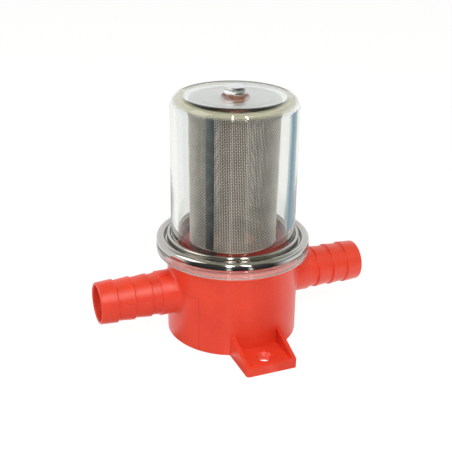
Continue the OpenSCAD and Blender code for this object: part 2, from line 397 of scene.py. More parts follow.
@dataclass(frozen=True)
class WovenSteel:
    """Drawn wire: bright where it crowns outwards, with painted shade down in the weave."""

    name: str
    crown: Colour = (0.88, 0.87, 0.84)
    weave_shade: Colour = (0.085, 0.085, 0.085)
    roughness: float = 0.36
    metal: float = 0.4
    low: tuple[float, float] = (0.02194, 0.0516)
    spread: float = 0.0087
    crest: tuple[float, float] = (0.00003, 0.00032)

    def make(self) -> bpy.types.Material:
        """Return the finished material."""
        wire = Surface(self.name)
        height = wire.axes()[2]
        lift = wire.radius() - (self.low[0] + (height - self.low[1]) * self.spread)
        crest = lift.fade(*self.crest)
        patch = wire.noise(90, 3, 0.6).fade(0.35, 0.7)
        draw = wire.noise(2600, 2, 0.5)
        # Painted shade: the wire turns near black as it sinks into the weave's recesses and keeps its own
        # bright tone on the crowns.
        tone = wire.mix(crest * (1.0 - patch * 0.25), rgba(self.weave_shade), rgba(self.crown))
        wire.feed(Base_Color=tone, Metallic=self.metal, Roughness=self.roughness + patch * 0.06 + draw * 0.06)
        wire.bump(draw, 0.00001, 0.3)
        return wire.material


@dataclass(frozen=True)
class SeamSteel:
    """Doubled screen pressed flat and darkened by the welding."""

    name: str = "welded_seam_steel"
    tone: Colour = (0.13, 0.16, 0.17)
    bright: Colour = (0.42, 0.46, 0.47)

    def make(self) -> bpy.types.Material:
        """Return the finished material."""
        seam = Surface(self.name)
        _, _, z = seam.axes()
        turn = seam.angle()
        row = ((z * 1270.0 + 10.0) % 1.0).distance(0.5).fade(0.1, 0.4)
        column = ((turn * 36.0 + 400.0) % 1.0).distance(0.5).fade(0.1, 0.4)
        weave = row * column
        patch = seam.noise(220, 3, 0.6).fade(0.4, 0.75)
        tone = seam.mix(weave * 0.5 + patch * 0.25, rgba(self.tone), rgba(self.bright))
        seam.feed(Base_Color=tone, Metallic=1.0, Roughness=0.42 - weave * 0.1)
        seam.bump(weave, 0.00012, 0.8)
        return seam.material


@dataclass(frozen=True)
class SoftSolid:
    """Matt rubber or fibre with a mottled, slightly rough skin."""

    name: str
    tone: Colour
    mottle: Colour
    roughness: float = 0.6
    grain: float = 800.0

    def make(self) -> bpy.types.Material:
        """Return the finished material."""
        skin = Surface(self.name)
        cloud = skin.noise(self.grain * 0.15, 3, 0.6).fade(0.35, 0.7)
        grain = skin.noise(self.grain, 3, 0.6)
        tone = skin.mix(cloud * 0.7, rgba(self.tone), rgba(self.mottle))
        skin.feed(Base_Color=tone, Roughness=self.roughness + grain * 0.1, IOR=1.5)
        skin.bump(grain, 0.00006, 0.5)
        return skin.material


# --------------------------------------------------------------- mesh making


def arc(centre: Point, radius: float, start: float, end: float, steps: int) -> list[Point]:
    """Return points along an arc.

    Args:
        centre: Centre of the arc.
        radius: Its radius.
        start: First angle in degrees, from the outward axis towards up.
        end: Last angle in degrees.
        steps: Number of stretches.

    Returns:
        The steps + 1 points.
    """
    turns = (math.radians(start + (end - start) * index / steps) for index in range(steps + 1))
    return [(centre[0] + radius * math.cos(turn), centre[1] + radius * math.sin(turn))
            for turn in turns]


def softened(outline: Sequence[Point], radius: float, steps: int = 3,
             sharpest: float = 150.0) -> list[Point]:
    """Round every clear corner of a closed outline.

    Args:
        outline: Corner points in order.
        radius: Rounding radius, cut down on short sides.
        steps: Number of stretches in each rounded corner.
        sharpest: Corners flatter than this many degrees stay as they are.

    Returns:
        The outline with its corners rounded.
    """
    made: list[Point] = []
    count = len(outline)
    for index, corner in enumerate(outline):
        here = Vector(corner)
        to_last = Vector(outline[index - 1]) - here
        to_next = Vector(outline[(index + 1) % count]) - here
        if to_last.length < 1e-6 or to_next.length < 1e-6:
            continue
        opening = to_last.angle(to_next)
        if math.degrees(opening) > sharpest:
            made.append(corner)
            continue
        reach = min(radius / math.tan(opening / 2), 0.45 * to_last.length, 0.45 * to_next.length)
        first = here + to_last.normalized() * reach
        last = here + to_next.normalized() * reach
        for step in range(steps + 1):
            share = step / steps
            blend = first.lerp(here, share).lerp(here.lerp(last, share), share)
            made.append((blend.x, blend.y))
    return made


def new_object(name: str, mesh: bpy.types.Mesh) -> bpy.types.Object:
    """Link a mesh into the scene as an object at the origin."""
    made = bpy.data.objects.new(name, mesh)
    bpy.context.scene.collection.objects.link(made)
    return made


def mesh_from(name: str, work: bmesh.types.BMesh) -> bpy.types.Mesh:
    """Turn a bmesh into a mesh with outward faces and free the bmesh."""
    bmesh.ops.recalc_face_normals(work, faces=work.faces)
    mesh = bpy.data.meshes.new(name)
    work.to_mesh(mesh)
    work.free()
    return mesh


def lathe(name: str, outline: Sequence[Point], segments: int = 192,
          turn: Matrix | None = None) -> bpy.types.Object:
    """Turn a closed outline about the vertical axis.

    Args:
        name: Name of the object.
        outline: Points as (radius, height) in millimetres, in order.
        segments: Number of steps round the axis.
        turn: Matrix that places the turned shape, or None.

    Returns:
        A closed mesh object.
    """
    work = bmesh.new()
    rings: list[list[bmesh.types.BMVert]] = []
    for radius, height in outline:
        if radius < 1e-6:
            rings.append([work.verts.new((0, 0, height * MM))])
            continue
        rings.append([
            work.verts.new((radius * MM * math.cos(TURN * step / segments),
                            radius * MM * math.sin(TURN * step / segments), height * MM))
            for step in range(segments)])
    for index, ring in enumerate(rings):
        above = rings[(index + 1) % len(rings)]
        if len(ring) == 1 and len(above) == 1:
            continue
        for step in range(segments):
            after = (step + 1) % segments
            corners = [ring[step % len(ring)], ring[after % len(ring)],
                       above[after % len(above)], above[step % len(above)]]
            work.faces.new(list(dict.fromkeys(corners)))
    if turn is not None:
        work.transform(turn)
    return new_object(name, mesh_from(name, work))


def loft(name: str, work: bmesh.types.BMesh,
         rings: Sequence[list[bmesh.types.BMVert]]) -> bpy.types.Object:
    """Skin a stack of equal rings and close both ends.

    Args:
        name: Name of the object.
        work: Mesh under construction that holds the rings' corners.
        rings: The rings in order, all with the same number of corners.

    Returns:
        A closed mesh object.
    """
    for low, high in zip(rings, rings[1:]):
        for step in range(len(low)):
            after = (step + 1) % len(low)
            work.faces.new([low[step], low[after], high[after], high[step]])
    work.faces.new(rings[0])
    work.faces.new(rings[-1])
    return new_object(name, mesh_from(name, work))


def prism(name: str, plan: Sequence[Point], low: float, high: float) -> bpy.types.Object:
    """Raise a flat outline into a closed prism.

    Args:
        name: Name of the object.
        plan: Points as (x, y) in millimetres.
        low: Height of the underside.
        high: Height of the top.

    Returns:
        A closed mesh object.
    """
    work = bmesh.new()
    bottom = [work.verts.new((x * MM, y * MM, low * MM)) for x, y in plan]
    top = [work.verts.new((x * MM, y * MM, high * MM)) for x, y in plan]
    work.faces.new(bottom)
    work.faces.new(top)
    for index in range(len(plan)):
        after = (index + 1) % len(plan)
        work.faces.new([bottom[index], bottom[after], top[after], top[index]])
    return new_object(name, mesh_from(name, work))


def settle(piece: bpy.types.Object) -> bpy.types.Object:
    """Bake an object's modifiers into its mesh."""
    graph = bpy.context.evaluated_depsgraph_get()
    mesh = bpy.data.meshes.new_from_object(piece.evaluated_get(graph))
    piece.modifiers.clear()
    piece.data = mesh
    return piece


def combine(target: bpy.types.Object, tools: Iterable[bpy.types.Object],
            operation: str) -> bpy.types.Object:
    """Join, cut or intersect an object with others, which are used up.

    Args:
        target: Object that is kept.
        tools: Objects to join or cut with.
        operation: UNION, DIFFERENCE or INTERSECT.

    Returns:
        The target with the result in its mesh.
    """
    for tool in tools:
        step = target.modifiers.new("combine", "BOOLEAN")
        step.operation = operation
        step.solver = "EXACT"
        step.object = tool
        settle(target)
        bpy.data.objects.remove(tool)
    return target


def smooth(piece: bpy.types.Object, crease: float = 32.0) -> None:
    """Shade smoothly, with an edge wherever faces meet sharper than crease degrees."""
    mesh = piece.data
    mesh.shade_smooth()
    mesh.set_sharp_from_angle(angle=math.radians(crease))


def ease_edges(piece: bpy.types.Object, width: float, steps: int = 2, crease: float = 32.0) -> None:
    """Round the sharp edges of a mesh.

    Args:
        piece: Object to change.
        width: Rounding width in millimetres.
        steps: Number of faces across each rounded edge.
        crease: Edges sharper than this many degrees are rounded.
    """
    bevel = piece.modifiers.new("ease", "BEVEL")
    bevel.width = width * MM
    bevel.segments = steps
    bevel.limit_method = "ANGLE"
    bevel.angle_limit = math.radians(crease)
    bevel.use_clamp_overlap = True
    bevel.miter_outer = "MITER_ARC"
    settle(piece)


def finish_piece(piece: bpy.types.Object, body: Body, slot: Slot,
                 material: bpy.types.Material | None, *nodes: str) -> bpy.types.Object:
    """Dress a finished piece and hand it to the frame.

    Args:
        piece: The piece.
        body: Body that it moves with.
        slot: Record slot of its finish; not used.
        material: Its material, or None to keep what it has.
        nodes: CAD nodes that it stands for.

    Returns:
        The piece.
    """
    if material is not None:
        piece.data.materials.clear()
        piece.data.materials.append(material)
    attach(piece, body.value)
    if nodes:
        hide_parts(*nodes)
    LOG.info("%s: %d faces on %s", piece.name, len(piece.data.polygons), body.value)
    return piece


def dress_node(name: str, material: bpy.types.Material) -> None:
    """Give a CAD node that stays in view its material."""
    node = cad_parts[name]
    node.data.materials.clear()
    node.data.materials.append(material)
    LOG.info("%s: dressed", name)


# ------------------------------------------------------------ sub-assemblies


@dataclass
class Base:
    """Moulded base: body, two barbed spigots, two lugs and the fuel ways."""

    red: bpy.types.Material
    radius: float = 34.0
    height: float = 48.0
    rim: float = 1.7
    boss_radius: float = 28.2
    floor: float = 52.2
    gasket_floor: float = 45.5
    spigot_z: float = 25.7
    bore: float = 9.3
    reach: float = 73.1
    barbs: int = 3
    pitch: float = 8.8
    valley: float = 10.35
    crest: float = 11.17
    root: float = 11.47
    tip: float = 10.65
    fillet: float = 1.6
    relief: tuple[float, float] = (29.0, 1.2)
    chamfer: float = 0.6
    edge_round: float = 0.3
    spigot_start: float = 20.0
    lug_lift: float = 0.03
    lug_corner: float = 1.5
    lug_width: float = 26.8
    lug_reach: float = 52.8
    lug_rim: float = 4.8
    lug_floor: float = 3.6
    lug_wall: float = 2.0
    web_height: float = 12.1
    hole_y: float = 43.0
    hole_radius: float = 2.65
    sink_radius: float = 4.35
    well_radius: float = 14.0
    well_floor: float = 14.4
    riser: tuple[float, float, float, float] = (19.5, 27.0, 16.4, 42.0)
    port_inner: float = 22.5
    port_half_angle: float = 50.0
    seat: tuple[float, float, float] = (21.0, 22.8, 49.2)
    arrow_depth: float = 0.35
    arrow_turn: float = 20.0

    def build(self) -> None:
        """Make the moulding and hand it to the frame."""
        shell = self._body()
        pieces = [self._spigot(side) for side in (0, 1)]
        pieces += [self._lug(side) for side in (0, 1)]
        combine(shell, pieces, "UNION")
        combine(shell, self._cutters(), "DIFFERENCE")
        ease_edges(shell, self.edge_round)
        smooth(shell)
        finish_piece(shell, Body.BASE, Slot.RED, self.red, "base_housing")

    def _body(self) -> bpy.types.Object:
        """Return the round body with its rim, gasket step and raised floor."""
        inner = self.radius - self.rim
        relief_radius, relief_depth = self.relief
        outline = [(0, relief_depth), (relief_radius, relief_depth), (relief_radius, 0.0),
                   (self.radius - self.chamfer, 0.0), (self.radius, self.chamfer),
                   (self.radius, self.height), (inner, self.height), (inner, self.gasket_floor),
                   (self.boss_radius, self.gasket_floor),
                   (self.boss_radius, self.floor - self.chamfer),
                   (self.boss_radius - self.chamfer, self.floor), (0, self.floor)]
        return lathe("base_moulding", outline, 192)

    def _spigot_outline(self) -> list[Point]:
        """Return a spigot's section as (radius, distance from the base's axis)."""
        first = self.reach - self.pitch + 0.2
        points = [(0.0, self.reach), (self.tip - 0.7, self.reach)]
        points += arc((self.tip - 0.7, self.reach - 0.7), 0.7, 90, 0, 4)[1:]
        for index in range(self.barbs):
            crest_x = first - index * self.pitch
            points += [(self.crest - 0.04, crest_x + 0.25), (self.crest, crest_x + 0.05),
                       (self.crest - 0.12, crest_x - 0.18), (self.valley + 0.1, crest_x - 0.4),
                       (self.valley, crest_x - 0.6)]
        root_x = first - (self.barbs - 1) * self.pitch - 5
        points += [(self.valley + 0.5, root_x), (self.root - 0.1, root_x - 0.3),
                   (self.root, root_x - 0.5)]
        return points

    def _spigot(self, side: int) -> bpy.types.Object:
        """Return one spigot with a fillet where it runs into the round body."""
        segments = 128
        outline = self._spigot_outline()
        blend_steps = 6
        work = bmesh.new()
        rings: list[list[bmesh.types.BMVert]] = []
        facing = -1 if side else 1

        def ring(points: Iterable[tuple[float, float, float]]) -> None:
            """Add one ring of corners."""
            rings.append([work.verts.new((facing * x * MM, y * MM, (self.spigot_z + z) * MM))
                          for x, y, z in points])

        turns = [TURN * step / segments for step in range(segments)]
        for radius, distance in outline[1:]:
            ring((distance, radius * math.cos(turn), radius * math.sin(turn)) for turn in turns)
        for step in range(blend_steps + 1):
            lean = math.pi / 2 * step / blend_steps
            radius = self.root + self.fillet * (1 - math.cos(lean))
            stand = self.fillet * (1 - math.sin(lean))
            ring((self._skin(radius * math.cos(turn)) + stand, radius * math.cos(turn),
                  radius * math.sin(turn)) for turn in turns)
        last = self.root + self.fillet
        ring((self.spigot_start, last * math.cos(turn), last * math.sin(turn)) for turn in turns)
        return loft("spigot", work, rings)

    def _skin(self, across: float) -> float:
        """Return how far the body's skin lies from the axis at a sideways distance."""
        return math.sqrt(self.radius ** 2 - across ** 2)

    def _lug(self, side: int) -> bpy.types.Object:
        """Return one lug: a tray with a rim, two sloping webs and a sunk hole."""
        facing = 1 if side else -1
        half = self.lug_width / 2
        root = self.relief[0]

        def plan(inset: float, back: float) -> list[Point]:
            """Return the lug's plan, inset from its edges, with round outer corners."""
            wide, far = half - inset, self.lug_reach - inset
            corner = self.lug_corner
            turns = [math.pi / 8 * step for step in range(5)]
            points = [(-wide, back)]
            points += [(-wide + corner - corner * math.cos(turn),
                        far - corner + corner * math.sin(turn)) for turn in turns]
            points += [(wide - corner + corner * math.sin(turn),
                        far - corner + corner * math.cos(turn)) for turn in turns]
            points += [(wide, back)]
            return [(x, facing * y) for x, y in points]

        lug = prism("lug", plan(0, root), self.lug_lift, self.lug_rim)
        webs = [self._web(facing, edge, root) for edge in (-1, 1)]
        combine(lug, webs, "UNION")
        tray = prism("tray", plan(self.lug_wall, root - 4), self.lug_floor, self.web_height + 4)
        sink = [(0, -1), (self.hole_radius, -1), (self.hole_radius, 1.9),
                (self.sink_radius, self.lug_floor + 0.02), (self.sink_radius, 6), (0, 6)]
        hole = lathe("hole", sink, 64, Matrix.Translation((0, facing * self.hole_y * MM, 0)))
        return combine(lug, [tray, hole], "DIFFERENCE")

    def _web(self, facing: int, edge: int, root: float) -> bpy.types.Object:
        """Return one sloping web at a lug's side."""
        outer = edge * self.lug_width / 2
        inner = outer - edge * self.lug_wall
        far = self.lug_reach - self.lug_corner
        side = [(root, self.lug_lift), (far, self.lug_lift), (far, self.lug_rim),
                (self._skin(self.lug_width / 2) + 0.2, self.web_height), (root, self.web_height)]
        work = bmesh.new()
        faces = []
        for x in (outer, inner):
            corners = [work.verts.new((x * MM, facing * y * MM, z * MM)) for y, z in side]
            work.faces.new(corners)
            faces.append(corners)
        for index in range(len(side)):
            after = (index + 1) % len(side)
            work.faces.new([faces[0][index], faces[0][after], faces[1][after], faces[1][index]])
        return new_object("web", mesh_from("web", work))

    def _slot(self, inner: float, outer: float, low: float, high: float) -> bpy.types.Object:
        """Return the solid of an arc-shaped slot centred on the inlet side."""
        steps = 32
        spread = math.radians(self.port_half_angle)
        turns = [math.pi - spread + 2 * spread * step / steps for step in range(steps + 1)]
        plan = [(outer * math.cos(turn), outer * math.sin(turn)) for turn in turns]
        plan += [(inner * math.cos(turn), inner * math.sin(turn)) for turn in reversed(turns)]
        return prism("slot", plan, low, high)

    def _cutters(self) -> list[bpy.types.Object]:
        """Return the solids of every hollow in the base."""
        inner, outer, low, high = self.riser
        seat_in, seat_out, seat_floor = self.seat
        lying = Matrix.Translation((0, 0, self.spigot_z * MM)) @ Matrix.Rotation(math.pi / 2, 4, "Y")
        mouth = self.reach + 1
        flare = self.bore + 0.5

        def passage(facing: int, end: float) -> list[Point]:
            """Return the section of one spigot's bore, from its mouth to its inner end."""
            section = [(0, mouth), (flare, mouth), (flare, self.reach),
                       (self.bore, self.reach - 0.6), (self.bore, end), (0, end)]
            return [(radius, facing * place) for radius, place in section]

        top = self.floor + 2
        return [
            lathe("well", [(0, self.well_floor), (self.well_radius, self.well_floor),
                           (self.well_radius, top), (0, top)], 96),
            lathe("seat", [(seat_in, seat_floor), (seat_out, seat_floor), (seat_out, top),
                           (seat_in, top)], 192),
            self._slot(inner, outer, low, high),
            self._slot(self.port_inner, outer, high - 1, top),
            lathe("inlet", passage(-1, inner + 2), 96, lying),
            lathe("outlet", passage(1, self.well_radius - 5), 96, lying),
            self._arrow(),
        ]

    def _arrow(self) -> bpy.types.Object:
        """Return the solid of the flow arrow sunk into the inlet spigot."""
        tip_x = -self.radius - 1.2
        length, width = 5.0, 3.6
        plan = [(0, 0), (-length / 2, width / 2), (-length / 2, width / 6), (-length, width / 6),
                (-length, -width / 6), (-length / 2, -width / 6), (-length / 2, -width / 2)]
        low = self.root - self.arrow_depth
        arrow = prism("arrow", [(tip_x + x, y) for x, y in plan], low, low + 2)
        arrow.data.transform(Matrix.Translation((0, 0, self.spigot_z * MM))
                             @ Matrix.Rotation(math.radians(self.arrow_turn), 4, "X"))
        return arrow


@dataclass
class Bowl:
    """Clear bowl with its crown, shoulder, foot and overhanging skirt."""

    clear: bpy.types.Material
    fibre: bpy.types.Material
    outer: float = 32.0
    inner: float = 28.5
    top: float = 126.9
    crown: float = 123.2
    shoulder: float = 6.0
    inner_shoulder: float = 3.0
    foot: float = 47.0
    hole: float = 4.4
    skirt_in: float = 34.3
    skirt_out: float = 39.6
    skirt_low: float = 45.1
    flange_top: float = 50.0
    plate_low: float = 48.3
    lip: tuple[float, float] = (6.0, 0.5)
    bolt_way: float = 3.3

    def build(self) -> None:
        """Make the bowl and the grommet in its crown."""
        bowl = lathe("clear_bowl", self._outline(), 192)
        smooth(bowl, 40)
        finish_piece(bowl, Body.BOWL, Slot.CLEAR, self.clear, "bowl")
        grommet = lathe("fibre_grommet", self._grommet(), 96)
        smooth(grommet)
        finish_piece(grommet, Body.BOWL, Slot.FIBRE, self.fibre, "crown_grommet")

    def _outline(self) -> list[Point]:
        """Return the bowl's closed section."""
        straight = self.top - self.shoulder
        inside = self.crown - self.inner_shoulder
        points = softened([(self.inner, self.foot), (self.outer, self.foot),
                           (self.outer, self.plate_low), (self.skirt_in, self.plate_low),
                           (self.skirt_in, self.skirt_low), (self.skirt_out - 0.25, self.skirt_low),
                           (self.skirt_out, self.skirt_low + 2.4),
                           (self.skirt_out - 0.15, self.flange_top), (self.outer, self.flange_top),
                           (self.outer, straight - 20), (self.inner, straight - 20)], 0.7, 4)
        keep = next(index for index, point in enumerate(points) if point[1] > self.flange_top + 5)
        made = points[:keep]
        made += [(self.outer, straight - 30 + 10 * step) for step in range(0, 3)]
        made += arc((self.outer - self.shoulder, straight), self.shoulder, 0, 90, 20)
        made += [(self.hole + 0.4, self.top), (self.hole, self.top - 0.4),
                 (self.hole, self.crown + 0.3), (self.hole + 0.3, self.crown)]
        made += arc((self.inner - self.inner_shoulder, inside), self.inner_shoulder, 90, 0, 16)
        made += [(self.inner, 100.0), (self.inner, 75.0)]
        return made

    def _grommet(self) -> list[Point]:
        """Return the closed section of the grommet that lines the crown's hole."""
        radius, thick = self.lip
        return softened([(self.bolt_way, self.crown), (self.hole, self.crown), (self.hole, self.top),
                         (radius, self.top), (radius, self.top + thick),
                         (self.bolt_way, self.top + thick)], 0.25, 3)


@dataclass
class ClampRing:
    """Polished ring on the flange: wide outer bead, groove, thin inner bead."""

    steel: bpy.types.Material
    inner: float = 32.3
    outer: float = 39.5
    low: float = 50.0
    bead: float = 2.3
    bead_rise: float = 1.5
    inner_bead: float = 0.85
    inner_rise: float = 3.85
    groove_rise: float = 1.0

    def build(self) -> None:
        """Make the ring."""
        ring = lathe("polished_ring", self._outline(), 256)
        smooth(ring)
        finish_piece(ring, Body.RING, Slot.POLISHED, self.steel, "clamp_ring")

    def _outline(self) -> list[Point]:
        """Return the ring's closed section."""
        centre = self.outer - self.bead
        bead_z = self.low + self.bead_rise
        small = self.inner + self.inner_bead
        small_z = self.low + self.inner_rise
        points = [(self.inner, self.low), (self.outer - 0.5, self.low), (self.outer - 0.15, self.low + 0.4)]
        points += arc((centre, bead_z), self.bead, -18, 180, 24)
        points += [(centre - self.bead + 0.05, self.low + self.groove_rise + 0.3),
                   (centre - self.bead - 0.15, self.low + self.groove_rise),
                   (small + self.inner_bead + 0.1, self.low + self.groove_rise),
                   (small + self.inner_bead, self.low + self.groove_rise + 0.25)]
        points += arc((small, small_z), self.inner_bead, 0, 180, 14)
        return points


@dataclass
class Element:
    """Woven screen with its seam and cap; its bottom channel and seal stay as CAD nodes."""

    upright: bpy.types.Material
    hoop: bpy.types.Material
    seam_steel: bpy.types.Material
    pressed: bpy.types.Material
    warp_count: int = 172
    weft_count: int = 88
    wire_radius: float = 0.21
    bottom: tuple[float, float] = (21.94, 51.6)
    top: tuple[float, float] = (22.54, 121.2)
    seam_angle: float = 217.4
    seam_width: float = 4.1
    seam_ends: tuple[float, float] = (52.8, 121.0)
    cap_radius: float = 22.9
    cap_top: float = 122.5
    cap_thick: float = 0.8
    cap_step: float = 0.4
    cap_skirt: float = 1.2
    cap_hoop: float = 21.7
    column_way: float = 6.3

    def build(self) -> None:
        """Make the screen's wires, the seam and the cap."""
        warp = Weave("screen_uprights").uprights(self)
        finish_piece(warp, Body.ELEMENT, Slot.WIRE, None, "mesh_screen")
        weft = Weave("screen_hoops").hoops(self)
        finish_piece(weft, Body.ELEMENT, Slot.WIRE, None)
        seam = self._seam()
        finish_piece(seam, Body.ELEMENT, Slot.WIRE, self.seam_steel, "mesh_seam")
        cap = lathe("screen_cap", self._cap(), 192)
        smooth(cap)
        finish_piece(cap, Body.ELEMENT, Slot.PRESSED, self.pressed, "top_cap")

    def radius_at(self, height: float) -> float:
        """Return the screen's radius at a height, both in millimetres."""
        share = (height - self.bottom[1]) / (self.top[1] - self.bottom[1])
        return self.bottom[0] + share * (self.top[0] - self.bottom[0])

    def _seam(self) -> bpy.types.Object:
        """Return the pressed strip where the screen's ends overlap."""
        low, high = self.seam_ends
        rows, columns = 40, 10
        half = self.seam_width / 2 / self.radius_at(low)
        work = bmesh.new()
        sheets = []
        for lift in (0.30, 0.62):
            grid = []
            for row in range(rows + 1):
                height = low + (high - low) * row / rows
                line = []
                for column in range(columns + 1):
                    share = 2 * column / columns - 1
                    turn = math.radians(self.seam_angle) + half * share
                    crown = lift - 0.12 * share ** 4 if lift > 0.5 else lift
                    radius = self.radius_at(height) + crown
                    line.append(work.verts.new((radius * MM * math.cos(turn),
                                                radius * MM * math.sin(turn), height * MM)))
                grid.append(line)
            sheets.append(grid)
        for grid in sheets:
            for row in range(rows):
                for column in range(columns):
                    work.faces.new([grid[row][column], grid[row][column + 1],
                                    grid[row + 1][column + 1], grid[row + 1][column]])
        inner, outer = sheets
        border = [(0, column) for column in range(columns)]
        border += [(row, columns) for row in range(rows)]
        border += [(rows, column) for column in range(columns, 0, -1)]
        border += [(row, 0) for row in range(rows, 0, -1)]
        for index, (row, column) in enumerate(border):
            next_row, next_column = border[(index + 1) % len(border)]
            work.faces.new([inner[row][column], inner[next_row][next_column],
                            outer[next_row][next_column], outer[row][column]])
        strip = new_object("screen_seam", mesh_from("screen_seam", work))
        smooth(strip)
        return strip

    def _cap(self) -> list[Point]:
        """Return the closed section of the pressed cap."""
        rim = self.cap_top - self.cap_step
        middle = self.cap_radius - 5.2
        under = rim - self.cap_thick
        hoop = self.cap_hoop
        return softened([(self.column_way, self.cap_top - self.cap_thick),
                         (middle, self.cap_top - self.cap_thick), (hoop - 0.8, under),
                         (hoop - 0.8, under - self.cap_skirt), (hoop, under - self.cap_skirt),
                         (hoop, under), (self.cap_radius, under),
                         (self.cap_radius, rim), (middle + 0.5, self.cap_top - 0.3),
                         (middle, self.cap_top),
                         (self.column_way, self.cap_top)], 0.3, 3, 165)


class Weave(Tree):
    """Geometry Nodes that weave the screen's wires."""

    prefix = "GeometryNode"

    def __init__(self, name: str) -> None:
        """Start an empty tree.

        Args:
            name: Name of the tree and of the piece that it makes.
        """
        super().__init__(bpy.data.node_groups.new(name, "GeometryNodeTree"))
        self.name = name
        self.tree.is_modifier = True
        self.values: dict[str, Any] = {}
        self.tree.interface.new_socket("Geometry", in_out="OUTPUT", socket_type="NodeSocketGeometry")
        self.entry = self.tree.nodes.new("NodeGroupInput")
        self.exit = self.tree.nodes.new("NodeGroupOutput")

    def size(self, name: str, value: Any, kind: str = "Float") -> Signal:
        """Add a named input and return its value.

        Args:
            name: Name of the input.
            value: Value that the modifier gives it.
            kind: Float, Int or Material.

        Returns:
            The input as a Signal.
        """
        made = self.tree.interface.new_socket(name, in_out="INPUT", socket_type="NodeSocket" + kind)
        self.values[made.identifier] = value
        return Signal(self, self.entry.outputs[name])

    def screen_sizes(self, element: Element) -> tuple[Signal, ...]:
        """Return the wire's radius, and the screen's low and high radius and height."""
        sizes = {"Wire Radius": element.wire_radius, "Low Radius": element.bottom[0],
                 "High Radius": element.top[0], "Low Height": element.bottom[1],
                 "High Height": element.top[1]}
        return tuple(self.size(name, value * MM) for name, value in sizes.items())

    def vector(self, x: Any = 0.0, y: Any = 0.0, z: Any = 0.0) -> Any:
        """Return a vector made of three values."""
        return self.node("ShaderNodeCombineXYZ", inputs={0: x, 1: y, 2: z}).outputs[0]

    def zigzag(self) -> Signal:
        """Return +1 and -1 on alternate points."""
        index = Signal(self, self.node("InputIndex").outputs[0])
        return 1.0 - (index % 2.0) * 2.0

    def tube(self, curve: Any, radius: Signal) -> Any:
        """Return the mesh of a four-sided wire along a curve."""
        section = self.node("CurvePrimitiveCircle", inputs={"Resolution": 4, "Radius": radius})
        made = self.node("CurveToMesh", inputs={"Curve": curve, "Profile Curve": section.outputs[0],
                                                "Fill Caps": True})
        return made.outputs[0]

    def finish(self, parts: Sequence[Any], material: Signal) -> bpy.types.Object:
        """Join the parts, make them real and return them as a plain mesh."""
        joined = self.node("JoinGeometry")
        for part in parts:
            self.tree.links.new(part, joined.inputs[0])
        real = self.node("RealizeInstances", inputs={0: joined.outputs[0]})
        shaded = self.node("SetShadeSmooth", inputs={0: real.outputs[0]})
        dressed = self.node("SetMaterial", inputs={0: shaded.outputs[0], "Material": material})
        self.tree.links.new(dressed.outputs[0], self.exit.inputs[0])
        carrier = new_object(self.name, bpy.data.meshes.new(self.name))
        grow = carrier.modifiers.new("weave", "NODES")
        grow.node_group = self.tree
        for identifier, value in self.values.items():
            grow[identifier] = value
        return settle(carrier)

    def uprights(self, element: Element) -> bpy.types.Object:
        """Weave the upright wires.

        Args:
            element: The element whose sizes the wires follow.

        Returns:
            The wires as one mesh object.
        """
        count = self.size("Wire Count", element.warp_count, "Int")
        crossings = self.size("Crossings", element.weft_count, "Int")
        radius, low_r, high_r, low_z, high_z = self.screen_sizes(element)
        material = self.size("Material", element.upright, "Material")
        parts = []
        for phase in (0, 1):
            line = self.node("CurvePrimitiveLine", inputs={
                "Start": self.vector(low_r, 0.0, low_z), "End": self.vector(high_r, 0.0, high_z)})
            even = self.node("ResampleCurve", inputs={"Curve": line.outputs[0], "Count": crossings})
            sway = self.zigzag() * radius * (1.0 - 2.0 * phase)
            bent = self.node("SetPosition", inputs={"Geometry": even.outputs[0],
                                                    "Offset": self.vector(sway)})
            wire = self.tube(bent.outputs[0], radius)
            parts.append(self._around(wire, count, phase))
        return self.finish(parts, material)

    def _places(self, count: Signal, phase: int) -> tuple[Any, Signal]:
        """Return points for every second wire, and each one's number among all wires."""
        points = self.node("Points", inputs={"Count": count / 2.0})
        index = Signal(self, self.node("InputIndex").outputs[0])
        return points.outputs[0], index * 2.0 + float(phase)

    def _around(self, wire: Any, count: Signal, phase: int) -> Any:
        """Return every second place round the screen filled with one wire."""
        points, number = self._places(count, phase)
        turn = number * TURN / count
        placed = self.node("InstanceOnPoints", inputs={
            "Points": points, "Instance": wire, "Rotation": self.vector(0.0, 0.0, turn)})
        return placed.outputs[0]

    def hoops(self, element: Element) -> bpy.types.Object:
        """Weave the level wires.

        Args:
            element: The element whose sizes the wires follow.

        Returns:
            The wires as one mesh object.
        """
        count = self.size("Wire Count", element.weft_count, "Int")
        crossings = self.size("Crossings", element.warp_count, "Int")
        radius, low_r, high_r, low_z, high_z = self.screen_sizes(element)
        material = self.size("Material", element.hoop, "Material")
        parts = []
        for phase in (0, 1):
            circle = self.node("CurvePrimitiveCircle", inputs={"Resolution": crossings,
                                                               "Radius": low_r})
            outward = self.node("ShaderNodeVectorMath", {"operation": "NORMALIZE"},
                                {0: self.node("InputPosition").outputs[0]})
            sway = self.zigzag() * radius * (2.0 * phase - 1.0)
            push = self.node("ShaderNodeVectorMath", {"operation": "SCALE"},
                             {0: outward.outputs[0], "Scale": sway})
            bent = self.node("SetPosition", inputs={"Geometry": circle.outputs[0],
                                                    "Offset": push.outputs[0]})
            hoop = self.tube(bent.outputs[0], radius)
            points, number = self._places(count, phase)
            share = number / (count - 1.0)
            height = low_z + share * (high_z - low_z)
            widen = 1.0 + share * (high_r - low_r) / low_r
            placed = self.node("InstanceOnPoints", inputs={
                "Points": points, "Instance": hoop,
                "Scale": self.vector(widen, widen, 1.0)})
            raised = self.node("TranslateInstances", inputs={
                "Instances": placed.outputs[0], "Translation": self.vector(0.0, 0.0, height),
                "Local Space": False})
            parts.append(raised.outputs[0])
        return self.finish(parts, material)


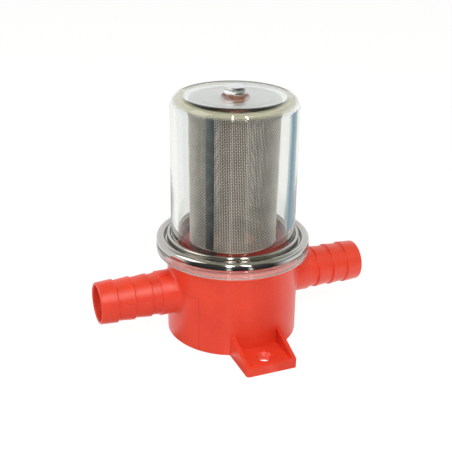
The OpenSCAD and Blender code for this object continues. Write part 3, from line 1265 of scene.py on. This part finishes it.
@dataclass
class BoltGroup:
    """Hexagon bolt through the crown, and the washer under its head."""

    steel: bpy.types.Material
    washer_steel: bpy.types.Material
    across_flats: float = 10.0
    head_low: float = 127.8
    head_high: float = 130.8
    shank: float = 3.0
    core: float = 2.55
    pitch: float = 1.0
    length: float = 25.0
    thread_length: float = 18.0
    washer: tuple[float, float, float] = (3.05, 5.8, 127.4)

    def build(self) -> None:
        """Make the bolt and its washer."""
        bolt = combine(self._head(), [self._shank()], "UNION")
        smooth(bolt, 28)
        finish_piece(bolt, Body.BOLT, Slot.BOLT, self.steel, "crown_bolt")
        inner, outer, low = self.washer
        ring = softened([(inner, low), (outer, low), (outer, self.head_low), (inner, self.head_low)],
                        0.12, 2)
        washer = lathe("flat_washer", ring, 96)
        smooth(washer)
        finish_piece(washer, Body.WASHER, Slot.POLISHED, self.washer_steel, "head_washer")

    def _head(self) -> bpy.types.Object:
        """Return the hexagon head with its turned chamfer."""
        corner = self.across_flats / 2 / math.cos(math.pi / 6)
        plan = [(corner * math.cos(TURN * side / 6), corner * math.sin(TURN * side / 6))
                for side in range(6)]
        head = prism("hexagon_bolt", plan, self.head_low, self.head_high)
        flat = self.across_flats / 2 - 0.2
        drop = (corner - flat) * math.tan(math.radians(30))
        cone = lathe("cone", [(0, self.head_low - 1), (corner + 1, self.head_low - 1),
                              (corner + 1, self.head_high - drop - math.tan(math.radians(30))),
                              (flat, self.head_high), (0, self.head_high)], 96)
        combine(head, [cone], "INTERSECT")
        ease_edges(head, 0.15, 2, 25)
        return head

    def _shank(self) -> bpy.types.Object:
        """Return the shank with its rolled thread."""
        around, steps = 36, 6
        tip = self.head_low - self.length
        rows: list[tuple[float, float]] = []
        turns = int(self.thread_length / self.pitch)
        work = bmesh.new()
        rings = []

        def ring(height_at: Callable[[float], float], radius_at: Callable[[float], float]) -> None:
            """Add one ring of corners from functions of the turn share."""
            rings.append([work.verts.new((radius_at(step / around) * MM * math.cos(TURN * step / around),
                                          radius_at(step / around) * MM * math.sin(TURN * step / around),
                                          height_at(step / around) * MM)) for step in range(around)])

        ring(lambda share: tip, lambda share: self.core - 0.5)
        for row in range(turns * steps):
            height = tip + 0.6 + row * self.pitch / steps
            rows.append((height, row / steps))
        for height, phase in rows:
            def profile(share: float, phase: float = phase) -> float:
                """Return the thread's radius at a share of the turn."""
                wave = (phase - share) % 1.0
                rise = 1 - abs(2 * wave - 1)
                return self.core + (self.shank - 0.03 - self.core) * min(1.0, rise * 1.25)
            ring(lambda share, height=height: height, profile)
        plain = rows[-1][0] + 0.6
        ring(lambda share: plain, lambda share: self.shank - 0.02)
        ring(lambda share: self.head_low + 0.5, lambda share: self.shank - 0.02)
        return loft("shank", work, rings)


# -------------------------------------------------------------------- studio


@dataclass(frozen=True)
class Lamp:
    """A tall, narrow soft lamp that points at the object.

    Azimuth is in degrees to the right of the camera, elevation in degrees
    above the floor, sizes in metres and power in watts.
    """

    azimuth: float
    elevation: float
    distance: float = 0.9
    width: float = 0.07
    colour: Colour = (1.0, 0.94, 0.89)
    height: float = 0.55
    power: float = 3.0


@dataclass
class Studio:
    """Camera, pale floor, white backdrop, dark room ahead and soft lamps."""

    azimuth: float = -22.886
    elevation: float = 22.642
    distance: float = 0.4467
    aim_height: float = 0.06325
    roll: float = 0.971
    lens: float = 69.262
    shift: tuple[float, float] = (-0.0157, -0.0251)
    floor_reach: float = 6.0
    dark: Colour = (0.035, 0.037, 0.042)
    card: Colour = (0.13, 0.27, 0.35)
    side_card: float = 20.0
    streak: tuple[float, float, float] = (0.015, 0.075, 1.1)
    mirror_card: Colour = (0.22, 0.33, 0.39)
    ceiling: Colour = (0.38, 0.40, 0.30)
    room: Colour = (0.06, 0.06, 0.06)
    room_through: Colour = (0.42, 0.43, 0.34)
    lamps: list[Lamp] = field(default_factory=lambda: [
        Lamp(-4.0, 42.0, width=0.05), Lamp(24.0, 42.0, width=0.05), Lamp(-75.0, 40.0, width=0.5, power=2.0)])

    def build(self) -> None:
        """Set up the whole studio."""
        scene = bpy.context.scene
        scene.view_settings.view_transform = "Standard"
        self._camera(scene)
        self._floor()
        self._sky(scene)
        for number, lamp in enumerate(self.lamps):
            self._hang(number, lamp)

    @staticmethod
    def _towards(azimuth: float, elevation: float) -> Vector:
        """Return the unit vector from the object towards a viewing angle."""
        turn, rise = math.radians(azimuth), math.radians(elevation)
        return Vector((math.sin(turn) * math.cos(rise), -math.cos(turn) * math.cos(rise),
                       math.sin(rise)))

    def _camera(self, scene: bpy.types.Scene) -> None:
        """Place the camera with its small roll and shift."""
        back = self._towards(self.azimuth, self.elevation)
        right = (-back).cross(Vector((0, 0, 1))).normalized()
        up = right.cross(-back)
        lean = math.radians(self.roll)
        side = right * math.cos(lean) + up * math.sin(lean)
        top = up * math.cos(lean) - right * math.sin(lean)
        camera = bpy.data.objects.new("camera", bpy.data.cameras.new("camera"))
        camera.data.lens = self.lens
        camera.data.sensor_width = 36
        camera.data.shift_x, camera.data.shift_y = self.shift
        place = Vector((0, 0, self.aim_height)) + back * self.distance
        camera.matrix_world = Matrix.Translation(place) @ Matrix((side, top, back)).transposed().to_4x4()
        camera.data.clip_start = 0.01
        scene.collection.objects.link(camera)
        scene.camera = camera

    def _floor(self) -> None:
        """Lay a pale floor that shines dark ahead of the object, with two lamp streaks."""
        reach = self.floor_reach
        work = bmesh.new()
        corners = [work.verts.new((x * reach, y * reach, 0)) for x, y in
                   ((-1, -1), (1, -1), (1, 1), (-1, 1))]
        work.faces.new(corners)
        floor = new_object("floor", mesh_from("floor", work))
        paper = Surface("floor_paper")
        grain = paper.noise(300, 2, 0.5)
        pale = paper.mix(grain * 0.3, rgba((0.90, 0.90, 0.90)), rgba((0.93, 0.93, 0.93)))
        paper.feed(Base_Color=rgba((0.16, 0.16, 0.16)), Roughness=0.9, Specular_IOR_Level=0.0,
                   Emission_Color=pale, Emission_Strength=1.0)
        turn = paper.angle()
        ahead = math.radians(self.azimuth - 90)
        front = turn.distance(ahead).fade(0.95, 1.45, 1.0, 0.0)
        middle = ahead + math.radians(self.lamps[0].azimuth + self.lamps[1].azimuth) / 2
        apart = math.radians(self.lamps[1].azimuth - self.lamps[0].azimuth) / 2
        streaks = turn.distance(middle).distance(apart).fade(self.streak[0], self.streak[1], 1.0, 0.0)
        shine = paper.mix(streaks, rgba(self.dark), rgba((1.0, 0.98, 0.95)))
        mirror = paper.blend(streaks, paper.tinted("Emission", rgba(self.dark), Strength=1.0),
                             paper.tinted("Emission", shine, Strength=self.streak[2]))
        path = paper.node("LightPath")
        glossy = Signal(paper, path.outputs["Is Glossy Ray"])
        near = paper.blend(glossy * front, paper.shader.outputs[0], mirror)
        aside = turn.distance(math.radians(self.side_card)).fade(0.24, 0.35, 1.0, 0.0)
        through = Signal(paper, path.outputs["Is Transmission Ray"])
        card = paper.tinted("Emission", rgba(self.card), Strength=1.0)
        paper.plug(paper.output.inputs["Surface"], paper.blend(through * aside, near, card))
        floor.data.materials.append(paper.material)

    def _sky(self, scene: bpy.types.Scene) -> None:
        """Make a white backdrop behind the object and a dark room ahead and above."""
        world = bpy.data.worlds.new("studio")
        world.use_nodes = True
        scene.world = world
        sky = Tree(world.node_tree)
        sky.tree.nodes.clear()
        direction = sky.node("TexCoord").outputs["Generated"]
        split = sky.node("SeparateXYZ", inputs={0: direction})
        x, y, z = (Signal(sky, split.outputs[index]) for index in range(3))
        back = self._towards(self.azimuth, 0)
        ahead = x * back.x + y * back.y
        right = y * back.x - x * back.y
        room = ahead.fade(0.10, 0.55)
        card = right.fade(0.80, 0.97) * z.fade(0.2, 0.5, 1.0, 0.0)
        tone = sky.mix(card, rgba((1.0, 1.0, 1.0)), rgba(self.mirror_card))
        tone = sky.mix(z.fade(0.45, 0.80), tone, rgba(self.ceiling))
        path = sky.node("LightPath")
        shade = sky.mix(path.outputs["Is Transmission Ray"], rgba(self.room),
                        rgba(self.room_through))
        tone = sky.mix(room * z.fade(0.80, 0.97, 1.0, 0.0), tone, shade)
        tone = sky.mix(path.outputs["Is Camera Ray"], tone, rgba((1.0, 1.0, 1.0)))
        sky.plug(sky.node("OutputWorld").inputs[0], sky.tinted("Background", tone, Strength=1.0))

    def _hang(self, number: int, lamp: Lamp) -> None:
        """Hang one lamp.

        Args:
            number: Number in the lamp's name.
            lamp: Its place, size and power.
        """
        data = bpy.data.lights.new(f"lamp_{number}", "AREA")
        data.shape = "RECTANGLE"
        data.size, data.size_y = lamp.width, lamp.height
        data.energy = lamp.power
        data.color = lamp.colour
        hung = bpy.data.objects.new(f"lamp_{number}", data)
        back = self._towards(self.azimuth + lamp.azimuth, lamp.elevation)
        hung.location = Vector((0, 0, self.aim_height)) + back * lamp.distance
        hung.rotation_mode = "QUATERNION"
        hung.rotation_quaternion = back.to_track_quat("Z", "Y")
        bpy.context.scene.collection.objects.link(hung)


def main() -> None:
    """Build every sub-assembly in order."""
    logging.basicConfig(level=logging.INFO, format="%(message)s")
    red = RedMoulding().make()
    # Painted shade: the centre column is the base's red moulding made darker, for the shade it stands in
    # inside the bowl.
    shaded_column_red = RedMoulding(name="red_column_plastic", tone=(0.48, 0.05, 0.025),
                             deep=(0.30, 0.02, 0.012), lines=False).make()
    clear = ClearMoulding().make()
    ring_steel = TurnedSteel("polished_ring_steel", (0.53, 0.515, 0.49), 0.06).make()
    washer_steel = TurnedSteel("washer_steel", roughness=0.2).make()
    pressed = TurnedSteel("pressed_cap_steel", (0.70, 0.71, 0.71), 0.28, 0.00002).make()
    bolt_steel = TurnedSteel("bolt_steel", (0.76, 0.77, 0.80), 0.14).make()
    brass = TurnedSteel("turned_brass", (0.72, 0.50, 0.20), 0.2).make()
    # Painted highlight and painted shade: the uprights get a bright copy and the level wires a darker copy of
    # the same steel, so that only the uprights' crowns look lit.
    upright = WovenSteel("upright_wire_steel", (1.0, 0.985, 0.95)).make()
    hoop = WovenSteel("level_wire_steel", (0.58, 0.49, 0.44)).make()
    seam = SeamSteel().make()
    rubber = SoftSolid("black_seal_rubber", (0.012, 0.012, 0.013), (0.03, 0.03, 0.032)).make()
    fibre = SoftSolid("brown_washer_fibre", (0.30, 0.13, 0.09), (0.42, 0.20, 0.14), 0.45, 1400).make()
    Base(red).build()
    Bowl(clear, fibre).build()
    ClampRing(ring_steel).build()
    Element(upright, hoop, seam, pressed).build()
    BoltGroup(bolt_steel, washer_steel).build()
    dress_node("centre_column", shaded_column_red)
    dress_node("threaded_insert", brass)
    dress_node("bowl_gasket", rubber)
    dress_node("element_seal", rubber)
    dress_node("crown_seal", fibre)
    dress_node("bottom_ring", pressed)
    Studio().build()


if __name__ == "__main__":
    main()
